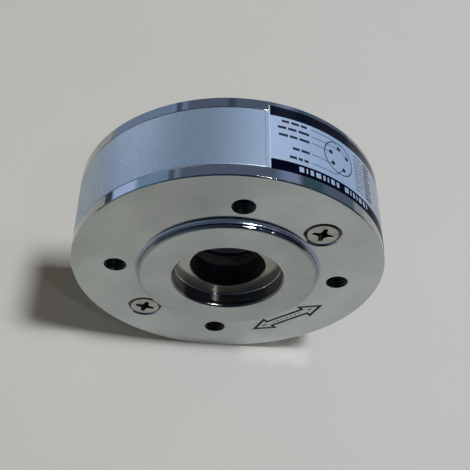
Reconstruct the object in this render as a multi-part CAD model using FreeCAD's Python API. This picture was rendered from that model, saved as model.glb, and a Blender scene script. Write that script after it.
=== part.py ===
import FreeCAD, Part
import math
import os

from FreeCAD import Vector

# Round flange-type tension load cell.
# Millimetres.  Row frame: +Z up, disc axis along Y, rear mounting face in the
# plane y = 0 facing +Y, load face towards -Y, origin on the disc axis.
#
# Construction frame used below (turned into the row frame at the end):
#   x  across the load axis, towards the receptacle
#   y  along the load axis
#   z  along the disc axis, 0 at the rear mounting face, growing to the front

# ---------------------------------------------------------------- dimensions
body_d = 100.0            # outside diameter
body_t = 29.0             # rear face to front face, without the boss
front_rim_t = 3.8         # polished front rim
rear_rim_t = 3.6          # polished rear rim
rim_break = 0.30          # broken outer edges
rim_lip = 0.20            # small chamfer beside the cover band

boss_r = 28.9             # raised boss on the load face
boss_h = 2.25
boss_edge_r = 0.75        # rounded edge of the boss
boss_fillet_r = 0.7       # fillet at its foot
register_r = 17.5         # counterbore that centres the roller bearing housing
register_floor_depth = 2.65   # floor below the front face
register_chamfer = 0.5
bore_r = 12.0             # clear bore through the cell
bore_chamfer = 0.3
bore_back_chamfer = 0.5

plate_r = 42.0            # thick middle of both flanges
load_back_z = 17.8        # back of the load flange
front_shoulder_z = 23.0
rear_shoulder_z = 5.8
base_top_z = 8.5          # inner face of the base flange
shoulder_r = 48.85        # load flange shoulder, free inside the band
base_shoulder_r = 49.0    # base flange shoulder, carries the band
groove_w = 1.2
groove_d = 1.05

bolt_pcd = 72.0           # tapped holes, front and rear
bolt_hole_r = 3.4         # M8 tapping size
front_hole_depth = 8.2
rear_hole_depth = 7.0
hole_break = 0.25

csk_m6_r = 5.95           # countersinks of the load flange screws
m6_clear_r = 3.2          # close fit, so the screws also centre the flange
m6_r = 3.0
m6_head_r = 5.5
m6_head_bevel = (0.6, 0.4)    # sloped edge of the head: width, height
m6_tip_z = 11.0
csk_m5_r = 4.90           # countersinks of the base flange screws
m5_clear_r = 2.75
m5_r = 2.5
m5_head_r = 4.60
m5_tip_z = 15.5
m5_x, m5_y = 32.5, 13.0

block_half = 18.5         # moving block of the sensing element, half width
slot_w = 8.5              # width of the flexure slots
fixed_flat = 38.0         # flats on the fixed blocks
beam_y = 25.0             # middle of each flexure beam
beam_t = 2.4
slot_corner_r = 1.5
element_bore_r = 15.5
element_relief = 0.4      # clearance of moving and fixed faces

dowel_r = 2.0
stop_r = 2.5
stop_gap = 0.15
dowel_x, dowel_y = 10.0, 24.0

band_gap = 0.15           # visible gap at both edges of the cover band
band_inner_r = 49.0
band_outer_r = 50.0

label_t = 0.12            # wiring label
label_from_deg = 2.6      # clockwise from +Z, seen from the front
label_to_deg = 97.0
label_front_depth = 3.85  # edges, measured back from the front face
label_rear_depth = 27.4

arrow_x, arrow_y = 35.3, -1.0     # load direction mark on the front face
arrow_len = 29.9
arrow_head_len = 8.0
arrow_head_w = 8.5
arrow_shaft_w = 4.2
arrow_line = 1.0
arrow_depth = 0.12

rec_z = 14.4              # receptacle axis above the rear face
rec_nose_r = 6.0          # coupling thread, major diameter 12
rec_tip_x = 61.0
rec_seat_x = 51.2
rec_flange_t = 1.5
rec_flange_r = 8.0
rec_rear_r = 5.5
rec_rear_x = 44.4
rec_socket_r = 4.6
rec_socket_x = 54.0
rec_insert_r = 4.2
pin_r = 0.5
pin_circle_r = 2.7
pin_count = 5

board_x0, board_t = 38.6, 1.0
board_half_y = 17.2
board_z0, board_z1 = 9.0, 17.0
board_screw_y = 10.0
wire_d = 0.7
lead_d = 0.8

R = body_d / 2.0
front_z = body_t
boss_z = body_t + boss_h
register_z = body_t - register_floor_depth
front_rim_z = body_t - front_rim_t

Z = Vector(0, 0, 1)
X = Vector(1, 0, 0)
Y = Vector(0, 1, 0)


# ------------------------------------------------------------------- helpers
def cyl(r, z0, z1, x=0.0, y=0.0):
    return Part.makeCylinder(r, z1 - z0, Vector(x, y, z0), Z)


def cyl_x(r, x0, x1, y=0.0, z=0.0):
    return Part.makeCylinder(r, x1 - x0, Vector(x0, y, z), X)


def cone(r0, r1, z0, z1, x=0.0, y=0.0):
    return Part.makeCone(r0, r1, z1 - z0, Vector(x, y, z0), Z)


def box(x0, x1, y0, y1, z0, z1):
    return Part.makeBox(x1 - x0, y1 - y0, z1 - z0, Vector(x0, y0, z0))


def lathe(points, about_x=False, centre_z=0.0):
    """Turned solid from a closed section.  A point is (r, z), or
    (r, z, rm, zm) where (rm, zm) is the middle of the arc that leads to it."""
    def at(r, z):
        return Vector(z, 0, centre_z + r) if about_x else Vector(r, 0, z)
    edges = []
    last = points[-1]
    for p in points:
        a, b = at(last[0], last[1]), at(p[0], p[1])
        if len(p) == 4:
            edges.append(Part.Arc(a, at(p[2], p[3]), b).toShape())
        else:
            edges.append(Part.LineSegment(a, b).toShape())
        last = p
    face = Part.Face(Part.Wire(edges))
    if about_x:
        solid = face.revolve(Vector(0, 0, centre_z), X, 360)
    else:
        solid = face.revolve(Vector(0, 0, 0), Z, 360)
    return solid if solid.Volume > 0 else solid.reversed()


def prism(points, z0, z1):
    wire = Part.makePolygon([Vector(x, y, z0) for x, y in points + points[:1]])
    return Part.Face(wire).extrude(Vector(0, 0, z1 - z0))


def rounded_slot(x0, x1, y0, y1, z0, z1, r):
    b = box(x0, x1, y0, y1, z0, z1)
    upright = [e for e in b.Edges
               if abs(e.Vertexes[0].X - e.Vertexes[1].X) < 1e-6
               and abs(e.Vertexes[0].Y - e.Vertexes[1].Y) < 1e-6]
    return b.makeFillet(r, upright)


def tube(points, d, ratio=0.45):
    """Round wire along straight runs joined by tangent arcs."""
    p = [Vector(*q) for q in points]
    edges, start, length = [], p[0], 0.0
    for i in range(1, len(p) - 1):
        a, b = p[i - 1] - p[i], p[i + 1] - p[i]
        la, lb = a.Length, b.Length
        a.normalize()
        b.normalize()
        half = (math.pi - a.getAngle(b)) / 2.0
        cut = ratio * min(la, lb)
        rad = cut / math.tan(half)
        t0, t1 = p[i] + a * cut, p[i] + b * cut
        bis = a + b
        bis.normalize()
        centre = p[i] + bis * math.hypot(rad, cut)
        mid = centre - bis * rad
        edges.append(Part.LineSegment(start, t0).toShape())
        edges.append(Part.Arc(t0, mid, t1).toShape())
        start = t1
    edges.append(Part.LineSegment(start, p[-1]).toShape())
    path = Part.Wire(edges)
    section = Part.Wire([Part.makeCircle(d / 2.0, p[0], p[1] - p[0])])
    return path.makePipeShell([section], True, False)


def cut_all(base, tools):
    return base.cut(Part.makeCompound(tools)) if tools else base


def cross_recess(z_top, depth, span, width, x, y, turn_deg, up):
    """Tapered cross for a driver.  up is +1 when the head faces +z."""
    tools = []
    for a in (0.0, 90.0):
        top, low = span / 2.0, span * 0.22
        pts = [Vector(-top, -width / 2, 0.3), Vector(top, -width / 2, 0.3),
               Vector(top, -width / 2, 0.0), Vector(low, -width / 2, -depth),
               Vector(-low, -width / 2, -depth), Vector(-top, -width / 2, 0.0)]
        face = Part.Face(Part.makePolygon(pts + pts[:1]))
        wing = face.extrude(Vector(0, width, 0))
        wing.rotate(Vector(0, 0, 0), Z, a)
        tools.append(wing)
    core = Part.makeCone(width * 0.45, width * 1.15, depth + 0.3,
                         Vector(0, 0, -depth), Z)
    tool = tools[0].fuse([tools[1], core])
    if up < 0:
        tool.rotate(Vector(0, 0, 0), X, 180)
    tool.rotate(Vector(0, 0, 0), Z, turn_deg)
    tool.translate(Vector(x, y, z_top))
    return tool


# angles of the tapped holes, between the load axis and the cross axis
hole_xy = [(bolt_pcd / 2 * math.cos(math.radians(a)),
            bolt_pcd / 2 * math.sin(math.radians(a)))
           for a in (45, 135, 225, 315)]
m6_y = bolt_pcd / 2.0

pieces = {}

# --------------------------------------------------------------- load flange
groove_z1 = front_shoulder_z + 0.45 + groove_w
load = lathe([
    (bore_r + bore_back_chamfer, load_back_z),
    (bore_r, load_back_z + bore_back_chamfer),
    (bore_r, register_z - bore_chamfer),
    (bore_r + bore_chamfer, register_z),
    (register_r, register_z),
    (register_r, boss_z - register_chamfer),
    (register_r + register_chamfer, boss_z),
    (boss_r - boss_edge_r, boss_z),
    (boss_r, boss_z - boss_edge_r,
     boss_r - boss_edge_r * (1 - math.sqrt(0.5)),
     boss_z - boss_edge_r * (1 - math.sqrt(0.5))),
    (boss_r, front_z + boss_fillet_r),
    (boss_r + boss_fillet_r, front_z,
     boss_r + boss_fillet_r * (1 - math.sqrt(0.5)),
     front_z + boss_fillet_r * (1 - math.sqrt(0.5))),
    (R - rim_break, front_z),
    (R, front_z - rim_break),
    (R, front_rim_z + rim_lip),
    (R - rim_lip, front_rim_z),
    (shoulder_r, front_rim_z),
    (shoulder_r, groove_z1),
    (shoulder_r - groove_d, groove_z1),
    (shoulder_r - groove_d, groove_z1 - groove_w),
    (shoulder_r, groove_z1 - groove_w),
    (shoulder_r, front_shoulder_z),
    (plate_r, front_shoulder_z),
    (plate_r, load_back_z + 0.5),
    (plate_r - 0.5, load_back_z),
])
tools = []
point_h = bolt_hole_r * math.tan(math.radians(31))
for x, y in hole_xy:
    tools.append(cyl(bolt_hole_r, front_z - front_hole_depth, front_z + 1, x, y))
    tools.append(cone(0.0, bolt_hole_r, front_z - front_hole_depth - point_h,
                      front_z - front_hole_depth, x, y))
    tools.append(cone(bolt_hole_r, bolt_hole_r + hole_break,
                      front_z - hole_break, front_z, x, y))
for s in (1, -1):
    tools.append(cyl(m6_clear_r, load_back_z - 1, front_z + 1, 0, s * m6_y))
    tools.append(cone(m6_clear_r, csk_m6_r,
                      front_z - (csk_m6_r - m6_clear_r), front_z, 0, s * m6_y))
    tools.append(cyl(dowel_r, load_back_z - 1, load_back_z + 5.4,
                     -s * dowel_x, s * dowel_y))
h, w, sh = arrow_len / 2, arrow_head_w / 2, arrow_shaft_w / 2
n = h - arrow_head_len
outline = [(0, h), (-w, n), (-sh, n), (-sh, -n), (-w, -n), (0, -h),
           (w, -n), (sh, -n), (sh, n), (w, n)]
ring = Part.makePolygon([Vector(arrow_x + a, arrow_y + b, front_z - arrow_depth)
                         for a, b in outline + outline[:1]])
outer = Part.Face(ring)
inner = outer.makeOffset2D(-arrow_line)
tools.append(outer.cut(inner).extrude(Vector(0, 0, arrow_depth + 1)))
pieces["load_flange"] = cut_all(load, tools)

# --------------------------------------------------------------- base flange
groove_b0 = rear_rim_t + 0.6
base = lathe([
    (bore_r + 1.0, base_top_z),
    (bore_r + 1.0, 0.5),
    (bore_r + 1.5, 0.0),
    (R - rim_break, 0.0),
    (R, rim_break),
    (R, rear_rim_t - rim_lip),
    (R - rim_lip, rear_rim_t),
    (base_shoulder_r, rear_rim_t),
    (base_shoulder_r, groove_b0),
    (base_shoulder_r - groove_d, groove_b0),
    (base_shoulder_r - groove_d, groove_b0 + groove_w),
    (base_shoulder_r, groove_b0 + groove_w),
    (base_shoulder_r, rear_shoulder_z),
    (plate_r, rear_shoulder_z),
    (plate_r, base_top_z - 0.5),
    (plate_r - 0.5, base_top_z),
])
tools = []
for x, y in hole_xy:
    tools.append(cyl(bolt_hole_r, -1, rear_hole_depth, x, y))
    tools.append(cone(bolt_hole_r + hole_break, bolt_hole_r, 0, hole_break, x, y))
m5_xy = [(sx * m5_x, sy * m5_y) for sx in (1, -1) for sy in (1, -1)]
for x, y in m5_xy:
    tools.append(cyl(m5_clear_r, -1, base_top_z + 1, x, y))
    tools.append(cone(csk_m5_r, m5_clear_r, 0, csk_m5_r - m5_clear_r, x, y))
for s in (1, -1):
    tools.append(cyl(dowel_r, 3.5, base_top_z + 1, s * m5_x, 0))
    tools.append(cyl(stop_r, 3.0, base_top_z + 1, s * dowel_x, s * dowel_y))
pieces["base_flange"] = cut_all(base, tools)

# ----------------------------------------------------------- sensing element
slot_x0, slot_x1 = block_half, block_half + slot_w
element = cyl(plate_r, base_top_z, load_back_z)
tools = [cyl(element_bore_r, base_top_z - 1, load_back_z + 1)]
lo, hi = base_top_z - 1, load_back_z + 1
for s in (1, -1):
    xa, xb = sorted((s * slot_x0, s * slot_x1))
    tools.append(box(min(s * fixed_flat, s * 60), max(s * fixed_flat, s * 60),
                     -60, 60, lo, hi))
    tools.append(rounded_slot(xa, xb, -(beam_y - beam_t / 2),
                              beam_y - beam_t / 2, lo, hi, slot_corner_r))
    tools.append(rounded_slot(xa, xb, beam_y + beam_t / 2, 60, lo, hi,
                              slot_corner_r))
    tools.append(rounded_slot(xa, xb, -60, -(beam_y + beam_t / 2), lo, hi,
                              slot_corner_r))
    # fixed blocks and beams stand clear of the load flange
    xa, xb = sorted((s * slot_x0, s * 60))
    tools.append(box(xa, xb, -60, 60, load_back_z - element_relief, hi))
    # load flange screws, dowels, overload stops
    tools.append(cyl(m6_r, m6_tip_z - 0.5, hi, 0, s * m6_y))
    tools.append(cyl(dowel_r, 12.0, hi, -s * dowel_x, s * dowel_y))
    tools.append(cyl(stop_r + stop_gap, lo, hi, s * dowel_x, s * dowel_y))
    tools.append(cyl(dowel_r, lo, 13.2, s * m5_x, 0))
    # lead passages and board screw holes on the receptacle side
    tools.append(cyl_x(1.2, slot_x1 - 1, 45, s * 18.5, 13.0))
    tools.append(cyl_x(1.0, 35.4, 45, s * board_screw_y, 13.0))
# moving block and beams stand clear of the base flange
tools.append(box(-slot_x1, slot_x1, -60, 60, lo, base_top_z + element_relief))
for x, y in m5_xy:
    tools.append(cyl(m5_r, lo, m5_tip_z + 0.5, x, y))
pieces["sensing_element"] = cut_all(element, tools)

# ---------------------------------------------------------------- cover band
band_z0, band_z1 = rear_rim_t + band_gap, front_rim_z - band_gap
band = lathe([
    (band_inner_r, band_z0),
    (band_outer_r - 0.15, band_z0),
    (band_outer_r, band_z0 + 0.15),
    (band_outer_r, band_z1 - 0.15),
    (band_outer_r - 0.15, band_z1),
    (band_inner_r, band_z1),
])
pieces["cover_band"] = band.cut(cyl_x(rec_rear_r + 0.3, 40, 60, 0, rec_z))

# --------------------------------------------------------------------- label
# azimuth a in the row frame is the construction angle 135 - a
sheet = lathe([
    (R, front_z - label_rear_depth), (R + label_t, front_z - label_rear_depth),
    (R + label_t, front_z - label_front_depth), (R, front_z - label_front_depth),
])
a0, a1 = math.radians(135 - label_to_deg), math.radians(135 - label_from_deg)
am = (a0 + a1) / 2
wedge = prism([(0, 0), (90 * math.cos(a0), 90 * math.sin(a0)),
               (130 * math.cos(am), 130 * math.sin(am)),
               (90 * math.cos(a1), 90 * math.sin(a1))], -1, 40)
pieces["wiring_label"] = sheet.common(wedge)

# -------------------------------------------------------------------- screws
m6_head_z = front_z - (csk_m6_r - m6_head_r)
screws = []
for s, turn in ((1, 40.0), (-1, 31.0)):
    y = s * m6_y
    body = lathe([(0.0, m6_tip_z), (m6_r - 0.6, m6_tip_z), (m6_r, m6_tip_z + 0.6),
                  (m6_r, m6_head_z - (m6_head_r - m6_r)),
                  (m6_head_r, m6_head_z),
                  (m6_head_r - m6_head_bevel[0], m6_head_z + m6_head_bevel[1]),
                  (0.0, m6_head_z + m6_head_bevel[1])])
    body.translate(Vector(0, y, 0))
    screws.append(body.cut(cross_recess(m6_head_z + m6_head_bevel[1], 2.5, 6.2,
                                        1.6, 0, y, turn, 1)))
pieces["load_flange_screws"] = Part.makeCompound(screws)

m5_head_z = csk_m5_r - m5_head_r
screws = []
for i, (x, y) in enumerate(m5_xy):
    body = lathe([(0.0, m5_head_z - 0.1), (m5_head_r - 0.3, m5_head_z - 0.1),
                  (m5_head_r, m5_head_z),
                  (m5_r, m5_head_z + (m5_head_r - m5_r)),
                  (m5_r, m5_tip_z - 0.5), (m5_r - 0.5, m5_tip_z),
                  (0.0, m5_tip_z)])
    body.translate(Vector(x, y, 0))
    screws.append(body.cut(cross_recess(m5_head_z - 0.1, 1.9, 5.2, 1.35,
                                        x, y, 17.0 + 23.0 * i, -1)))
pieces["base_flange_screws"] = Part.makeCompound(screws)


# -------------------------------------------------------- dowels and stops
def dowel(r, z0, z1, x, y):
    d = lathe([(0.0, z0), (r - 0.3, z0), (r, z0 + 0.3), (r, z1 - 0.3),
               (r - 0.3, z1), (0.0, z1)])
    d.translate(Vector(x, y, 0))
    return d


pieces["load_dowels"] = Part.makeCompound(
    [dowel(dowel_r, 12.2, load_back_z + 5.2, -s * dowel_x, s * dowel_y)
     for s in (1, -1)])
pieces["base_dowels"] = Part.makeCompound(
    [dowel(dowel_r, 3.7, 13.0, s * m5_x, 0) for s in (1, -1)])
pieces["overload_stop_pins"] = Part.makeCompound(
    [dowel(stop_r, 3.0, 15.5, s * dowel_x, s * dowel_y) for s in (1, -1)])

# --------------------------------------------------------- bore and seals
sleeve_top = 13.5
pieces["bore_sleeve"] = lathe([
    (bore_r + 0.3, 0.4), (bore_r + 1.0, 0.4), (bore_r + 1.0, sleeve_top - 0.8),
    (bore_r + 2.8, sleeve_top - 0.8), (bore_r + 2.8, sleeve_top),
    (bore_r + 0.3, sleeve_top), (bore_r, sleeve_top - 0.3), (bore_r, 0.7),
])
# bellows between the sleeve and the load flange
seal = [(bore_r + 1.0, sleeve_top), (bore_r + 2.8, sleeve_top),
        (bore_r + 2.8, sleeve_top + 0.7)]
pitch = (load_back_z - sleeve_top - 1.4) / 3.0
for i in range(3):
    z0 = sleeve_top + 0.7 + i * pitch
    seal.append((bore_r + 2.1, z0 + pitch / 2))
    seal.append((bore_r + 2.8, z0 + pitch))
seal += [(bore_r + 2.8, load_back_z), (bore_r + 1.0, load_back_z),
         (bore_r + 1.0, load_back_z - 0.7)]
for i in range(3):
    z1 = load_back_z - 0.7 - i * pitch
    seal.append((bore_r + 0.55, z1 - pitch / 2))
    seal.append((bore_r + 1.0, z1 - pitch))
seal.pop()
pieces["bore_seal"] = lathe(seal)

pieces["front_band_seal"] = lathe([
    (shoulder_r - groove_d, groove_z1 - groove_w + 0.1),
    (band_inner_r, groove_z1 - groove_w + 0.1),
    (band_inner_r, groove_z1 - 0.1),
    (shoulder_r - groove_d, groove_z1 - 0.1),
])
pieces["rear_band_seal"] = lathe([
    (base_shoulder_r - groove_d, groove_b0 + 0.1),
    (band_inner_r, groove_b0 + 0.1),
    (band_inner_r, groove_b0 + groove_w - 0.1),
    (base_shoulder_r - groove_d, groove_b0 + groove_w - 0.1),
])

# ---------------------------------------------------------------- receptacle
shell = lathe([
    (rec_rear_r - 0.4, rec_rear_x), (rec_rear_r, rec_rear_x + 0.4),
    (rec_rear_r, rec_seat_x), (rec_flange_r, rec_seat_x),
    (rec_flange_r, rec_seat_x + rec_flange_t - 0.3),
    (rec_flange_r - 0.3, rec_seat_x + rec_flange_t),
    (rec_nose_r, rec_seat_x + rec_flange_t), (rec_nose_r, rec_tip_x - 0.6),
    (rec_nose_r - 0.6, rec_tip_x), (rec_socket_r + 0.3, rec_tip_x),
    (rec_socket_r, rec_tip_x - 0.3), (rec_socket_r, rec_socket_x),
    (rec_insert_r, rec_socket_x), (rec_insert_r, rec_rear_x),
], about_x=True, centre_z=rec_z)
key = box(rec_socket_x, rec_tip_x + 1, -0.6, 0.6,
          rec_z - rec_socket_r - 0.5, rec_z - rec_socket_r + 0.8)
flats = [box(rec_seat_x + 0.01, rec_seat_x + rec_flange_t + 0.01, s * 7.0,
             s * 7.0 + s * 5.0, rec_z - 10, rec_z + 10) if s > 0 else
         box(rec_seat_x + 0.01, rec_seat_x + rec_flange_t + 0.01, -12.0, -7.0,
             rec_z - 10, rec_z + 10) for s in (1, -1)]
pieces["receptacle_shell"] = cut_all(shell, [key] + flats)

pin_yz = [(pin_circle_r * math.cos(math.radians(90 + 360.0 / pin_count * i)),
           rec_z + pin_circle_r * math.sin(math.radians(90 + 360.0 / pin_count * i)))
          for i in range(pin_count)]
insert = cyl_x(rec_insert_r, rec_rear_x + 1.0, rec_socket_x, 0, rec_z)
pieces["receptacle_insert"] = cut_all(
    insert, [cyl_x(pin_r, 40, 60, y, z) for y, z in pin_yz])
pins = []
for y, z in pin_yz:
    p = lathe([(0.0, 43.0), (pin_r, 43.0), (pin_r, 58.9),
               (pin_r * 0.84, 59.25), (pin_r * 0.5, 59.5), (0.0, 59.5)],
              about_x=True, centre_z=0.0)
    p.translate(Vector(0, y, z))
    pins.append(p)
pieces["receptacle_pins"] = Part.makeCompound(pins)

gasket = cyl_x(rec_flange_r - 0.2, 46, rec_seat_x, 0, rec_z)
gasket = gasket.cut(cyl_x(rec_rear_r + 0.1, 45, 60, 0, rec_z))
pieces["receptacle_gasket"] = gasket.cut(cyl(band_outer_r, -1, 40))

backing = box(47.2, 50, -7.4, 7.4, rec_z - 7.0, rec_z + 7.0)
backing = backing.common(cyl(band_inner_r, -1, 40))
pieces["receptacle_backing"] = backing.cut(
    cyl_x(rec_rear_r + 0.2, 40, 60, 0, rec_z))
nut_pts = [(7.5 * math.cos(math.radians(60 * i)),
            7.5 * math.sin(math.radians(60 * i))) for i in range(6)]
wire = Part.makePolygon([Vector(44.9, y, rec_z + z)
                         for y, z in nut_pts + nut_pts[:1]])
nut = Part.Face(wire).extrude(Vector(2.3, 0, 0))
pieces["receptacle_nut"] = nut.cut(cyl_x(rec_rear_r, 40, 60, 0, rec_z))

# ------------------------------------------------------- gauges and circuit
gauge_x = (slot_x0 + slot_x1) / 2
gauges = []
for s in (1, -1):
    for y0 in (beam_y + beam_t / 2, beam_y - beam_t / 2 - 0.1):
        ya, yb = sorted((s * y0, s * (y0 + 0.1)))
        gauges.append(box(gauge_x - 2.5, gauge_x + 2.5, ya, yb, 11.2, 15.2))
pieces["strain_gauges"] = Part.makeCompound(gauges)

board_x1 = board_x0 + board_t
board = box(board_x0, board_x1, -board_half_y, board_half_y, board_z0, board_z1)
pieces["terminal_board"] = cut_all(
    board, [cyl_x(1.1, 30, 50, s * board_screw_y, 13.0) for s in (1, -1)])
pieces["board_spacers"] = Part.makeCompound(
    [cyl_x(1.9, fixed_flat, board_x0, s * board_screw_y, 13.0).cut(
        cyl_x(1.1, 30, 50, s * board_screw_y, 13.0)) for s in (1, -1)])
screws = []
for s in (1, -1):
    b = lathe([(0.0, 35.6), (1.0, 35.6), (1.0, board_x1), (1.9, board_x1),
               (1.9, board_x1 + 0.9), (1.5, board_x1 + 1.3),
               (0.0, board_x1 + 1.3)], about_x=True)
    slot = box(board_x1 + 0.7, board_x1 + 2, -3, 3, -0.25, 0.25)
    b = b.cut(slot)
    b.translate(Vector(0, s * board_screw_y, 13.0))
    screws.append(b)
pieces["board_screws"] = Part.makeCompound(screws)
pieces["trim_resistors"] = Part.makeCompound(
    [box(board_x1, board_x1 + 0.6, y - 1.6, y + 1.6, z - 0.8, z + 0.8)
     for y in (-2.4, 2.4) for z in (10.4, 13.0)])

leads = []
for s in (1, -1):
    leads.append(tube([(gauge_x, s * (beam_y - beam_t / 2 - 0.1), 13.0),
                       (gauge_x, s * 18.5, 13.0), (41.2, s * 18.5, 13.0),
                       (41.2, s * 15.4, 11.2), (board_x1, s * 15.4, 11.2)],
                      lead_d))
    leads.append(tube([(gauge_x, s * (beam_y + beam_t / 2 + 0.1), 13.6),
                       (gauge_x, s * 37.4, 13.6), (34.0, s * 31.0, 13.8),
                       (41.5, s * 22.5, 14.6), (41.5, s * 15.4, 15.2),
                       (board_x1, s * 15.4, 15.2)], lead_d))
pieces["gauge_leads"] = Part.makeCompound(leads)

# five conductors from the pin tails to the board
pads = [("wire_shield", 0, 7.2, 16.3), ("wire_green", 1, -6.4, 15.4),
        ("wire_black", 2, -6.4, 11.6), ("wire_red", 3, 6.4, 11.6),
        ("wire_yellow", 4, 6.4, 14.6)]
for name, i, py, pz in pads:
    y, z = pin_yz[i]
    pieces[name] = tube([(43.0, y, z), (41.0, y, z), (41.0, py, pz),
                         (board_x1, py, pz)], wire_d)

# -------------------------------------------------------------------- export
k = math.sqrt(0.5)
to_row = FreeCAD.Matrix(k, k, 0, 0,
                        0, 0, -1, 0,
                        -k, k, 0, 0,
                        0, 0, 0, 1)


def main():
    os.makedirs("parts", exist_ok=True)
    for name, shape in pieces.items():
        out = shape.copy()
        out.transformShape(to_row, True)
        out.exportStep("parts/%s.step" % name)
        bb = out.BoundBox
        print("%-20s solids %d valid %s vol %.1f  x %.2f..%.2f y %.2f..%.2f z %.2f..%.2f"
              % (name, len(out.Solids), out.isValid(), out.Volume, bb.XMin, bb.XMax,
                 bb.YMin, bb.YMax, bb.ZMin, bb.ZMax))


main()
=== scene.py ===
import math

import bmesh
import bpy
from mathutils import Matrix, Vector
from mathutils.geometry import delaunay_2d_cdt


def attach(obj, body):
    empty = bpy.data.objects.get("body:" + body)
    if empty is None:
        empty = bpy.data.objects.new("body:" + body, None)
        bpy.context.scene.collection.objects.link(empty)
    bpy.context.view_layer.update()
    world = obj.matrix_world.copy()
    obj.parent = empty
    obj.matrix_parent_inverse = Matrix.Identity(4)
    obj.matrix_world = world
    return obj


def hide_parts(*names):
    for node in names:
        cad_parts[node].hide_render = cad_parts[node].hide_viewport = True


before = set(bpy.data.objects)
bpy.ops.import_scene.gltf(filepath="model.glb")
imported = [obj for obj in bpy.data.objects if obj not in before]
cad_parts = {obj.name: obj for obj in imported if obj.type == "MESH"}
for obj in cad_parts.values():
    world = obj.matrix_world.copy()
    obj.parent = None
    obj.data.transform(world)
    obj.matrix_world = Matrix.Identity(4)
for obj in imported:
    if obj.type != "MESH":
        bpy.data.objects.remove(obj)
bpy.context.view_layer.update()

# Lengths below are millimetres in the construction frame of the cell:
#   x across the load axis towards the receptacle, y along the load axis,
#   z along the disc axis, 0 at the rear mounting face, growing to the front.
K = math.sqrt(0.5)
TAU = 2 * math.pi


def row(x, y, z):
    """Construction frame in mm to the part's frame in metres."""
    return (K * (x + y) * 1e-3, -z * 1e-3, K * (y - x) * 1e-3)


# ------------------------------------------------------------ main dimensions
R = 50.0
FRONT = 29.0
BOSS = 31.25
FRONT_RIM = 25.2
REAR_RIM = 3.6
LOAD_BACK = 17.8
BASE_TOP = 8.5
REG_Z = 26.35
PCD_R = 36.0
HOLE_XY = [(PCD_R * math.cos(math.radians(a)), PCD_R * math.sin(math.radians(a)))
           for a in (45, 135, 225, 315)]
M5_XY = [(sx * 32.5, sy * 13.0) for sx in (1, -1) for sy in (1, -1)]
REC_Z = 14.4
SEG = 384


# --------------------------------------------------------------- mesh builder
class Shell:
    def __init__(self):
        self.v, self.f, self.m = [], [], []

    def add(self, verts, faces, mat=0):
        b = len(self.v)
        self.v += verts
        self.f += [tuple(i + b for i in f) for f in faces]
        self.m += [mat] * len(faces)

    def rings(self, loops, mat=0):
        """Quads between neighbouring closed loops of equal length."""
        n = len(loops[0])
        verts = [p for lp in loops for p in lp]
        faces = []
        for j in range(len(loops) - 1):
            for i in range(n):
                k = (i + 1) % n
                faces.append((j * n + i, j * n + k, (j + 1) * n + k, (j + 1) * n + i))
        self.add(verts, faces, mat)

    def fan(self, loop, centre, mat=0):
        n = len(loop)
        self.add(list(loop) + [centre], [(i, (i + 1) % n, n) for i in range(n)], mat)

    def build(self, name, mats, angle=9.0, weld=2e-6):
        me = bpy.data.meshes.new(name)
        me.from_pydata([row(*p) for p in self.v], [], self.f)
        me.polygons.foreach_set("material_index", self.m)
        bm = bmesh.new()
        bm.from_mesh(me)
        bmesh.ops.remove_doubles(bm, verts=bm.verts, dist=weld)
        bmesh.ops.dissolve_degenerate(bm, edges=bm.edges, dist=1e-8)
        bmesh.ops.recalc_face_normals(bm, faces=bm.faces)
        bm.to_mesh(me)
        bm.free()
        me.polygons.foreach_set("use_smooth", [True] * len(me.polygons))
        me.set_sharp_from_angle(angle=math.radians(angle))
        for m in mats:
            me.materials.append(m)
        me.update()
        ob = bpy.data.objects.new(name, me)
        bpy.context.scene.collection.objects.link(ob)
        return ob


def circle(r, z, x=0.0, y=0.0, n=SEG):
    return [(x + r * math.cos(TAU * i / n), y + r * math.sin(TAU * i / n), z)
            for i in range(n)]


def turned(shell, points, mat=0, n=SEG, x=0.0, y=0.0):
    """Surface of revolution along the disc axis through (r, z) points."""
    shell.rings([circle(r, z, x, y, n) for r, z in points], mat)


def arc(cr, cz, rad, a0, a1, n=8):
    """Points of a profile arc, angles in degrees, first and last included."""
    return [(cr + rad * math.cos(math.radians(a0 + (a1 - a0) * i / n)),
             cz + rad * math.sin(math.radians(a0 + (a1 - a0) * i / n)))
            for i in range(n + 1)]


def inside(poly, x, y):
    hit = False
    j = len(poly) - 1
    for i in range(len(poly)):
        xi, yi = poly[i]
        xj, yj = poly[j]
        if (yi > y) != (yj > y) and x < (xj - xi) * (y - yi) / (yj - yi) + xi:
            hit = not hit
        j = i
    return hit


def cdt(loops, extra_edges=()):
    """Constrained triangulation of closed 2D loops and open segments."""
    verts, edges = [], []
    for lp in loops:
        b, n = len(verts), len(lp)
        verts += [Vector(p) for p in lp]
        edges += [(b + i, b + (i + 1) % n) for i in range(n)]
    for p, q in extra_edges:
        b = len(verts)
        verts += [Vector(p), Vector(q)]
        edges.append((b, b + 1))
    out = delaunay_2d_cdt(verts, edges, [], 0, 1e-6)
    return [(v[0], v[1]) for v in out[0]], [tuple(f) for f in out[2]]


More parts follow.
